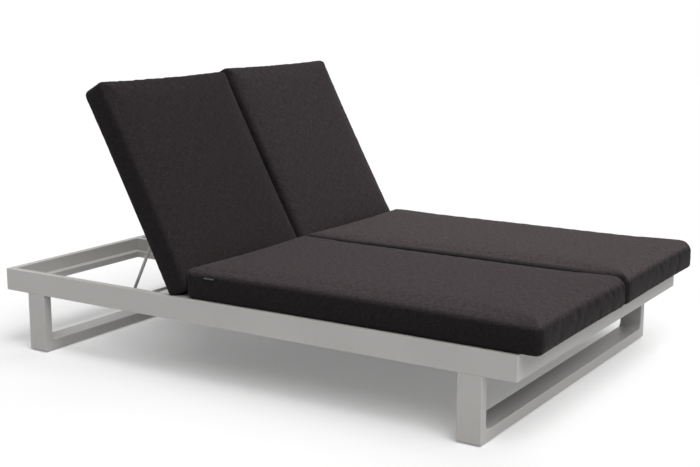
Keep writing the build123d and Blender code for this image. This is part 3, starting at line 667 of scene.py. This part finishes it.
# %% [markdown]
# ## Gathers along the seams
# Where a panel is eased onto the band, the cloth pinches into narrow valleys between soft swells.
# They die out a few centimetres from the seam, and run on down the band across the free end. A
# Geometry Nodes tree makes them: it reads how far along and how far from the seam a point lies, takes
# noise with a fixed seed along the seam, folds it so that it has sharp valleys, fades it with the
# distance, and moves the point along its normal.

# %% Begin and end a geometry tree
def socket_ids(tree):
    """The identifiers of a tree's inputs by their names."""
    return {item.name: item.identifier for item in tree.interface.items_tree
            if item.item_type == "SOCKET" and item.in_out == "INPUT"}


def new_geometry_tree(name, numbers):
    """A geometry tree with named number inputs and a material input."""
    tree = bpy.data.node_groups.new(name, "GeometryNodeTree")
    tree.interface.new_socket("Geometry", in_out="INPUT", socket_type="NodeSocketGeometry")
    for label, value in numbers.items():
        socket = tree.interface.new_socket(label, in_out="INPUT", socket_type="NodeSocketFloat")
        socket.default_value = value
    tree.interface.new_socket("Finish", in_out="INPUT", socket_type="NodeSocketMaterial")
    tree.interface.new_socket("Geometry", in_out="OUTPUT", socket_type="NodeSocketGeometry")
    return tree, add(tree, "NodeGroupInput"), add(tree, "NodeGroupOutput")


def end_tree(tree, geometry, inputs, outputs):
    """Makes instances real and sets the finish."""
    real = add(tree, "GeometryNodeRealizeInstances")
    finish = add(tree, "GeometryNodeSetMaterial")
    join(tree, geometry, real.inputs[0])
    join(tree, real.outputs[0], finish.inputs["Geometry"])
    join(tree, inputs.outputs["Finish"], finish.inputs["Material"])
    join(tree, finish.outputs[0], outputs.inputs[0])


# %% Build the gathers
fold_middle, fold_floor, fold_gain = 0.5, 0.08, 8.0

gathers, given, result = new_geometry_tree(
    "seam gathers", {"Depth": 0.0016, "Spacing": 0.017, "Straightness": 0.15, "Seed": 1.0})
reading = {label: add(gathers, "GeometryNodeInputNamedAttribute", {"Name": label},
                      data_type="FLOAT").outputs["Attribute"]
           for label in ("seam_run", "seam_gap", "seam_pull", "seam_reach")}
spot = add(gathers, "ShaderNodeCombineXYZ")
join(gathers, calculate(gathers, "DIVIDE", reading["seam_run"], given.outputs["Spacing"]),
     spot.inputs[0])
join(gathers, calculate(gathers, "DIVIDE", reading["seam_gap"], given.outputs["Straightness"]),
     spot.inputs[1])
join(gathers, given.outputs["Seed"], spot.inputs[2])
folds = add(gathers, "ShaderNodeTexNoise", {"Scale": 1.0, "Detail": 1.0})
join(gathers, spot.outputs[0], folds.inputs["Vector"])
fade = add(gathers, "ShaderNodeMapRange", {"From Min": 0.0, "To Min": 1.0, "To Max": 0.0},
           interpolation_type="SMOOTHSTEP")
join(gathers, reading["seam_gap"], fade.inputs["Value"])
join(gathers, reading["seam_reach"], fade.inputs["From Max"])
height = calculate(gathers, "SUBTRACT", folds.outputs[0], fold_middle)
height = calculate(gathers, "SUBTRACT", calculate(gathers, "ABSOLUTE", height), fold_floor)
height = calculate(gathers, "MULTIPLY", height,
                   calculate(gathers, "MULTIPLY", given.outputs["Depth"], fold_gain))
height = calculate(gathers, "MULTIPLY", height, fade.outputs[0])
height = calculate(gathers, "MULTIPLY", height, reading["seam_pull"])
outward = add(gathers, "ShaderNodeVectorMath", operation="SCALE")
join(gathers, add(gathers, "GeometryNodeInputNormal").outputs[0], outward.inputs[0])
join(gathers, height, outward.inputs["Scale"])
move = add(gathers, "GeometryNodeSetPosition")
join(gathers, given.outputs["Geometry"], move.inputs["Geometry"])
join(gathers, outward.outputs[0], move.inputs["Offset"])
end_tree(gathers, move.outputs[0], given, result)
print("gathers take", list(socket_ids(gathers)))


# %% Set a tree's inputs and keep what it makes
def made_by(thing, tree, values):
    """Runs a geometry tree on an object and returns the result as a plain mesh."""
    modifier = thing.modifiers.new(tree.name, "NODES")
    modifier.node_group = tree
    ids = socket_ids(tree)
    for label, value in values.items():
        modifier[ids[label]] = value
    depsgraph = bpy.context.evaluated_depsgraph_get()
    mesh = bpy.data.meshes.new_from_object(thing.evaluated_get(depsgraph), depsgraph=depsgraph)
    thing.modifiers.remove(modifier)
    return mesh


# %% [markdown]
# ## Sewing a cushion
# Each cushion goes through the same steps: shape, blow up, sew the seams down into a crease, one
# subdivision that keeps the crease fairly sharp, then the gathers. The map of the cloth is written on
# the lattice before that, a panel at a time, so that the subdivision carries it along. At the end
# the cushion is pressed flat where it lies on the deck and where it meets its neighbours, with room
# left for the zip between a seat cushion and a back cushion.

# %% Read how a lattice lies to its seams
panel_reach, band_reach = 0.028, 0.085
panel_pull, corner_pull, end_pull, lower_pull = 0.25, 0.35, 0.6, 0.4
corner_fall = 10
end_shift, side_shift, lower_shift = 7.0, 3.0, 11.0
# How far down from the top the painted highlight reaches.
painted_light_depth = 0.022
seam_margin = 1e-6


def panel_map(points, quads):
    """The place of every face corner on the flat cloth, in metres."""
    corners = points[quads]
    span = np.ptp(corners, axis=1)
    flat = np.zeros(quads.shape + (2,))
    thin = span.argmin(1)
    for axis, (first, second) in enumerate(((1, 2), (0, 2), (0, 1))):
        here = thin == axis
        flat[here] = corners[here][:, :, [first, second]]
    return flat.reshape(-1, 2)


def seam_reading(points, size):
    """How far along and how far from the nearest seam each point lies; no two seams read alike."""
    half = size / 2
    on_x = half[0] - np.abs(points[:, 0]) < half[1] - np.abs(points[:, 1])
    run = np.where(on_x, points[:, 1] + end_shift * np.sign(points[:, 0]),
                   points[:, 0] + side_shift * np.sign(points[:, 1]))
    inset = np.minimum(half[0] - np.abs(points[:, 0]), half[1] - np.abs(points[:, 1]))
    gap = np.where(inset > seam_margin, inset, half[2] - np.abs(points[:, 2]))
    run = run + np.where(points[:, 2] < 0, lower_shift, 0.0)
    return run, gap


def seam_strength(points, size, free_end):
    """How strongly and how far from the seam the cloth gathers."""
    half = size / 2
    corner = np.prod(np.clip(np.abs(points[:, :2]) / half[:2], 0, 1) ** corner_fall, axis=1)
    at_end = free_end * points[:, 0] > half[0] - seam_margin
    pull = np.where(at_end, end_pull, panel_pull + corner_pull * corner)
    pull = pull * np.where(points[:, 2] > 0, 1.0, lower_pull)
    return pull, np.where(at_end, band_reach, panel_reach)


def painted_light_share(points, size, name):
    """A painted highlight: how much paler each point of the upper panels is; none on the bands."""
    half = size / 2
    side = name.split("_")[0]
    # The highlight is left off near the valley between cushions, so the valley is painted shade.
    inner_gap = half[1] - (points[:, 1] if side == "near" else -points[:, 1])
    drop = half[2] - points[:, 2]
    seen = np.clip(1 - drop / painted_light_depth, 0, 1) * np.clip(inner_gap / painted_valley_shade_width[side], 0, 1)
    return 1 + (painted_top_light[name] - 1) * seen


seam_length = 2 * float((seat_high - seat_low)[:2].sum())
print("a seat cushion has", round(seam_length, 2), "m of seam above and as much below")

# %% Sew the seams
seam_depth = 0.0009
seam_slant = 0.7
seam_sharpness = 0.35


def sew_down(points, rings):
    """Pulls the seams inwards and towards the middle of the band."""
    for ring in rings:
        toward = -points[ring] * np.array([1.0, 1.0, 0.0])
        toward /= np.maximum(np.linalg.norm(toward, axis=1), tiny)[:, None]
        points[ring] += toward * seam_depth * seam_slant
        points[ring, 2] -= np.sign(points[ring, 2]) * seam_depth * seam_slant


def sharpen_seams(mesh, rings):
    """Marks the edges that run along a seam as creased."""
    in_ring = np.zeros(len(mesh.vertices), int)
    for index, ring in enumerate(rings):
        in_ring[ring] = index + 1
    ends = np.empty(len(mesh.edges) * 2, int)
    mesh.edges.foreach_get("vertices", ends)
    ends = in_ring[ends.reshape(-1, 2)]
    sewn_edge = (ends[:, 0] > 0) & (ends[:, 0] == ends[:, 1])
    mesh.attributes.new("crease_edge", "FLOAT", "EDGE").data.foreach_set(
        "value", sewn_edge * seam_sharpness)


def write_readings(mesh, lattice, quads, readings):
    """Writes the map of the cloth and the readings of every point on a mesh."""
    layer = mesh.uv_layers.new(name=cloth_map)
    layer.data.foreach_set("uv", panel_map(lattice, quads).ravel())
    for label, values in readings.items():
        mesh.attributes.new(label, "FLOAT", "POINT").data.foreach_set("value", values)


# %% Press a cushion and put it in its place
neighbour_gap = 0.0006
zip_room = 0.0045
below_limit = 0.0001


def finish_place(mesh, box, size, lifted):
    """Presses a cushion flat below and beside its neighbour, and puts it in its place."""
    points = np.empty(len(mesh.vertices) * 3)
    mesh.vertices.foreach_get("co", points)
    points = points.reshape(-1, 3)
    middle = (box[0] + box[1]) / 2
    middle[2] = box[0][2] + size[2] / 2
    points += middle
    points[:, 2] = np.maximum(points[:, 2], box[0][2] - below_limit)
    if middle[1] < 0:
        points[:, 1] = np.minimum(points[:, 1], -neighbour_gap)
    else:
        points[:, 1] = np.maximum(points[:, 1], neighbour_gap)
    points = turned(points, lifted)
    if lifted:
        points[:, 0] = np.minimum(points[:, 0], seat_start - zip_room)
        points[:, 2] = np.maximum(points[:, 2], box[0][2])
    else:
        points[:, 0] = np.maximum(points[:, 0], seat_start)
    mesh.vertices.foreach_set("co", points.ravel())
    mesh.update()


# %% Sew the cushions
def sewn(name, box, lifted, seed):
    """A finished cushion as an object, in its place."""
    kind, free_end = ("back", -1.0) if lifted else ("seat", 1.0)
    size = box[1] - box[0]
    size[2] -= crown
    lattice, quads, rings = lattice_shell(*(graded(v) for v in size))
    corner, edge = rounding_at(lattice, size, kind, free_end)
    points = drawn_in_and_crowned(rounded(lattice, size, corner, edge), size)
    uneven = np.random.default_rng(seed).normal(0.0, unevenness, points.shape)
    points = blown_up(name, points + uneven, quads, rings)
    sew_down(points, rings)
    mesh = mesh_from(name, points, quads)
    mesh.materials.append(cushion_cloth)
    run, gap = seam_reading(lattice, size)
    pull, reach = seam_strength(lattice, size, free_end)
    # The last reading is painted light: the upper panels' painted highlight, left off in the valley.
    write_readings(mesh, lattice, quads, {
        "seam_run": run, "seam_gap": gap, "seam_pull": pull, "seam_reach": reach,
        "painted_light": painted_light_share(lattice, size, name.removesuffix("_cushion"))})
    sharpen_seams(mesh, rings)
    thing = link_object(bpy.data.objects.new(name, mesh))
    smooth = thing.modifiers.new("smooth", "SUBSURF")
    smooth.levels = smooth.render_levels = 1
    thing.data = made_by(thing, gathers, {"Seed": float(seed), "Finish": cushion_cloth})
    thing.modifiers.remove(smooth)
    finish_place(thing.data, box, size, lifted)
    thing.data.shade_smooth()
    return thing


made = {}
for seed, (name, (box, lifted, body)) in enumerate(cushions.items(), start=1):
    cushion = sewn(name + "_cushion", box, lifted, seed)
    packed = [node for node in frame["nodes"] if node.startswith(name + "_cushion_")
              and node.endswith(("cover", "foam"))]
    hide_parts(*packed)
    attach(cushion, body)
    made[name] = cushion
    print(cushion.name, "stands for", packed, "with", len(cushion.data.polygons), "faces")

# %% [markdown]
# ## Zips and the tab
# Each cover closes with a zip across the end that nobody sees: on the head end of a seat cushion, and
# on the foot end of a back cushion. A small plain tab is sewn to the near seat cushion's band. All of
# them lie on the finished cloth. Rays sent at a cushion find its skin, an outline is swept along the
# places they hit, and a Geometry Nodes tree sets a row of small blocks along the same line: two
# staggered rows of teeth on a zip, and a straight row of stitches on the tab.

# %% Feel for the cloth and sweep along it
def laid_on(thing, starts, step, lifted):
    """Where rays sent from flat places meet a cushion, and which way its skin faces there."""
    skin = BVHTree.FromObject(thing, bpy.context.evaluated_depsgraph_get())
    aims = turned(starts + step, lifted)
    starts = turned(starts, lifted)
    found = [skin.ray_cast(Vector(start), Vector(aim - start)) for start, aim in zip(starts, aims)]
    return np.array([row[0] for row in found]), np.array([row[1] for row in found])


def upright(outward, lifted):
    """The direction up the cushion's band, square to the way the skin faces."""
    level = np.array([hinge, hinge + (0.0, 0.0, 1.0)])
    up = np.diff(turned(level, lifted), axis=0)
    up = up - (up * outward).sum(1)[:, None] * outward
    return up / np.linalg.norm(up, axis=1)[:, None]


def closed_mesh(name, points, faces, finish):
    """A mesh whose faces all look outwards."""
    mesh = bpy.data.meshes.new(name)
    mesh.from_pydata(np.asarray(points).tolist(), [], faces)
    whole = bmesh.new()
    whole.from_mesh(mesh)
    bmesh.ops.recalc_face_normals(whole, faces=whole.faces)
    whole.to_mesh(mesh)
    whole.free()
    mesh.materials.append(finish)
    return mesh


def swept(name, places, outward, across, outline, finish, sizes=None):
    """Sweeps a closed outline, given as steps across and outward, along a row of places."""
    sizes = np.ones((len(places), 2)) if sizes is None else np.array(sizes)
    steps = outline[None] * sizes[:, None]
    rings = places[:, None] + across[:, None] * steps[:, :, :1] + outward[:, None] * steps[:, :, 1:]
    index = np.arange(rings.shape[0] * rings.shape[1]).reshape(rings.shape[:2])
    beside = np.roll(index, -1, axis=1)
    quads = np.stack([index[:-1], beside[:-1], beside[1:], index[1:]], -1).reshape(-1, 4)
    faces = quads.tolist() + [index[0].tolist(), index[-1].tolist()]
    return closed_mesh(name, rings.reshape(-1, 3), faces, finish)


def line_of(name, places, outward, across):
    """A row of places as a line that also knows its outward and sideways directions."""
    mesh = bpy.data.meshes.new(name)
    ends = [(number, number + 1) for number in range(len(places) - 1)]
    mesh.from_pydata(places.tolist(), ends, [])
    for label, values in (("outward", outward), ("across", across)):
        mesh.attributes.new(label, "FLOAT_VECTOR", "POINT").data.foreach_set("vector", values.ravel())
    return link_object(bpy.data.objects.new(name, mesh))


def joined(name, meshes):
    """One object made of several meshes, each of which keeps its own finish."""
    whole = bmesh.new()
    mesh = bpy.data.meshes.new(name)
    for piece in meshes:
        first = len(whole.faces)
        whole.from_mesh(piece)
        finish = piece.materials[-1]
        if finish.name not in mesh.materials:
            mesh.materials.append(finish)
        place = mesh.materials.find(finish.name)
        whole.faces.ensure_lookup_table()
        for face in whole.faces[first:]:
            face.material_index = place
    whole.to_mesh(mesh)
    whole.free()
    return link_object(bpy.data.objects.new(name, mesh))


# %% Build the row of small blocks
small_blocks, given, result = new_geometry_tree(
    "row of small blocks", {"Pitch": 0.0032, "Length": 0.0019, "Width": 0.0034, "Height": 0.0012,
                            "Stagger": 0.0016})
guide = {label: add(small_blocks, "GeometryNodeInputNamedAttribute", {"Name": label},
                    data_type="FLOAT_VECTOR").outputs["Attribute"]
         for label in ("outward", "across")}
as_curve = add(small_blocks, "GeometryNodeMeshToCurve")
even = add(small_blocks, "GeometryNodeResampleCurve", mode="LENGTH")
join(small_blocks, given.outputs["Geometry"], as_curve.inputs[0])
join(small_blocks, as_curve.outputs[0], even.inputs["Curve"])
join(small_blocks, given.outputs["Pitch"], even.inputs["Length"])
turn_about = calculate(small_blocks, "MODULO",
                       add(small_blocks, "GeometryNodeInputIndex").outputs[0], 2.0)
sideways = calculate(small_blocks, "MULTIPLY", calculate(small_blocks, "SUBTRACT", turn_about, 0.5),
                     given.outputs["Stagger"])
offset = add(small_blocks, "ShaderNodeVectorMath", operation="SCALE")
join(small_blocks, guide["across"], offset.inputs[0])
join(small_blocks, sideways, offset.inputs["Scale"])
staggered = add(small_blocks, "GeometryNodeSetPosition")
join(small_blocks, even.outputs[0], staggered.inputs["Geometry"])
join(small_blocks, offset.outputs[0], staggered.inputs["Offset"])
block_size = add(small_blocks, "ShaderNodeCombineXYZ")
for place, label in enumerate(("Length", "Width", "Height")):
    join(small_blocks, given.outputs[label], block_size.inputs[place])
block = add(small_blocks, "GeometryNodeMeshCube")
join(small_blocks, block_size.outputs[0], block.inputs["Size"])
facing = add(small_blocks, "FunctionNodeAxesToRotation", primary_axis="Z", secondary_axis="X")
join(small_blocks, guide["outward"], facing.inputs[0])
join(small_blocks, add(small_blocks, "GeometryNodeInputTangent").outputs[0], facing.inputs[1])
placed = add(small_blocks, "GeometryNodeInstanceOnPoints")
join(small_blocks, staggered.outputs[0], placed.inputs["Points"])
join(small_blocks, block.outputs[0], placed.inputs["Instance"])
join(small_blocks, facing.outputs[0], placed.inputs["Rotation"])
end_tree(small_blocks, placed.outputs[0], given, result)
print("small blocks take", list(socket_ids(small_blocks)))


def blocks_along(name, places, outward, across, values):
    """Runs the tree of small blocks on a line and returns the mesh."""
    line = line_of(name, places, outward, across)
    mesh = made_by(line, small_blocks, values)
    bpy.data.objects.remove(line)
    return mesh


# %% Sew in the zips
finishes["zip"] = moulded("black nylon of the zips", (0.014, 0.014, 0.015), 0.55, 900.0)
zip_from_side, zip_height, zip_station = 0.090, 0.050, 0.012
ray_run_up = 2 * corner_at_free_end
tooth_rise = 0.0008
tape_outline = np.array([(-0.0045, 0.0002), (-0.0042, 0.0006), (0.0042, 0.0006), (0.0045, 0.0002),
                         (0.0045, -0.0010), (-0.0045, -0.0010)])
slider_outline = np.array([(-0.0040, 0.0006), (-0.0034, 0.0030), (0.0034, 0.0030),
                           (0.0040, 0.0006), (0.0030, -0.0004), (-0.0030, -0.0004)])
slider_sizes = ((0.5, 0.7), (0.8, 1.0), (1.0, 1.0), (1.0, 1.0), (0.75, 1.0), (0.55, 0.7))
slider_length, slider_station = 0.0090, 2
puller_outline = np.array([(-0.0022, 0.0031), (-0.0022, 0.0042), (0.0022, 0.0042), (0.0022, 0.0031)])
puller_sizes = ((0.8, 1.0), (1.0, 1.0), (1.0, 1.0), (1.3, 1.0), (1.1, 1.0))
puller_length = 0.0220


def along_line(places, outward, across, length, count):
    """A short straight row from the slider's place, with its outward and sideways directions."""
    here = places[slider_station]
    ahead_step = places[slider_station + 1] - here
    ahead_step = ahead_step / np.linalg.norm(ahead_step)
    row = here + ahead_step * np.linspace(0.0, length, count)[:, None]
    return (row, np.repeat(outward[[slider_station]], count, 0),
            np.repeat(across[[slider_station]], count, 0))


def zip_meshes(name, thing, box, lifted):
    """The tape, the teeth, the slider and the puller of one zip."""
    end = 1.0 if lifted else -1.0
    rows = np.arange(box[0][1] + zip_from_side, box[1][1] - zip_from_side, zip_station)
    hidden_end = box[int(lifted > 0)][0] + end * ray_run_up
    starts = np.stack([np.full(len(rows), hidden_end), rows,
                       np.full(len(rows), box[0][2] + zip_height)], 1)
    places, outward = laid_on(thing, starts, np.array([-end, 0.0, 0.0]), lifted)
    across = upright(outward, lifted)
    finish = finishes["zip"]
    teeth = blocks_along(name, places + outward * tooth_rise, outward, across, {"Finish": finish})
    slider = along_line(places, outward, across, slider_length, len(slider_sizes))
    puller = along_line(places, outward, across, puller_length, len(puller_sizes))
    return [swept(name + " tape", places, outward, across, tape_outline, finish), teeth,
            swept(name + " slider", *slider, slider_outline, finish, slider_sizes),
            swept(name + " puller", *puller, puller_outline, finish, puller_sizes)]


zips = {name: zip_meshes(name + "_zip", made[name], box, lifted)
        for name, (box, lifted, body) in cushions.items()}
for name, parts, node in (("seat_zips", zips["near_seat"] + zips["far_seat"], "seat_cushion_zips"),
                          ("near_back_zip", zips["near_back"], "near_back_cushion_zip"),
                          ("far_back_zip", zips["far_back"], "far_back_cushion_zip")):
    closure = joined(name, parts)
    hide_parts(node)
    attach(closure, "frame" if name == "seat_zips" else name.removesuffix("_zip"))
    print(name, "has", len(closure.data.polygons), "faces")

# %% Sew on the tab
finishes["tab"] = moulded("black satin of the tab", (0.008, 0.008, 0.0085), 0.8, 1500.0, 0.08)
pale_edge = moulded("pale woven edge of the tab", (0.12, 0.12, 0.122), 0.8, 1500.0, 0.1)
stitch_thread = moulded("grey stitches of the tab", (0.10, 0.10, 0.102), 0.8, 2000.0, 0.1)
tab_stations = 9
tab_outline = np.array([(-0.0005, 0.0001), (-0.0003, 0.0010), (-0.0090, 0.0014), (-0.0102, 0.0018),
                        (-0.0110, 0.0012), (-0.0104, 0.0002), (-0.0090, -0.0006), (-0.0005, -0.0006)])
edge_outline = np.array([(0.0004, 0.0002), (0.0002, 0.0016), (-0.0026, 0.0018), (-0.0029, 0.0011),
                         (-0.0020, 0.0004)])
stitch_drop, stitch_rise = 0.0040, 0.0015
stitch_sizes = {"Pitch": 0.0028, "Length": 0.0017, "Width": 0.0006, "Height": 0.0006, "Stagger": 0.0}

tab_low, tab_high = flat_box("near_seat_cushion_tab", 0.0)
rows = np.linspace(tab_low[0], tab_high[0], tab_stations)
starts = np.stack([rows, np.full(tab_stations, tab_low[1] - corner_at_free_end),
                   np.full(tab_stations, tab_high[2])], 1)
places, outward = laid_on(made["near_seat"], starts, np.array([0.0, 1.0, 0.0]), 0.0)
outward = np.repeat(outward.mean(0, keepdims=True), tab_stations, 0)
across = upright(outward, 0.0)
stitches = blocks_along("tab stitches", places - across * stitch_drop + outward * stitch_rise,
                        outward, across, {**stitch_sizes, "Finish": stitch_thread})
tab = joined("near_seat_tab", [
    swept("tab fold", places, outward, across, tab_outline, finishes["tab"]),
    swept("tab edge", places, outward, across, edge_outline, pale_edge), stitches])
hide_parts("near_seat_cushion_tab")
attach(tab, "frame")
print("tab", [round(v * 1000, 1) for v in tab_high - tab_low], "mm,", len(tab.data.polygons), "faces")
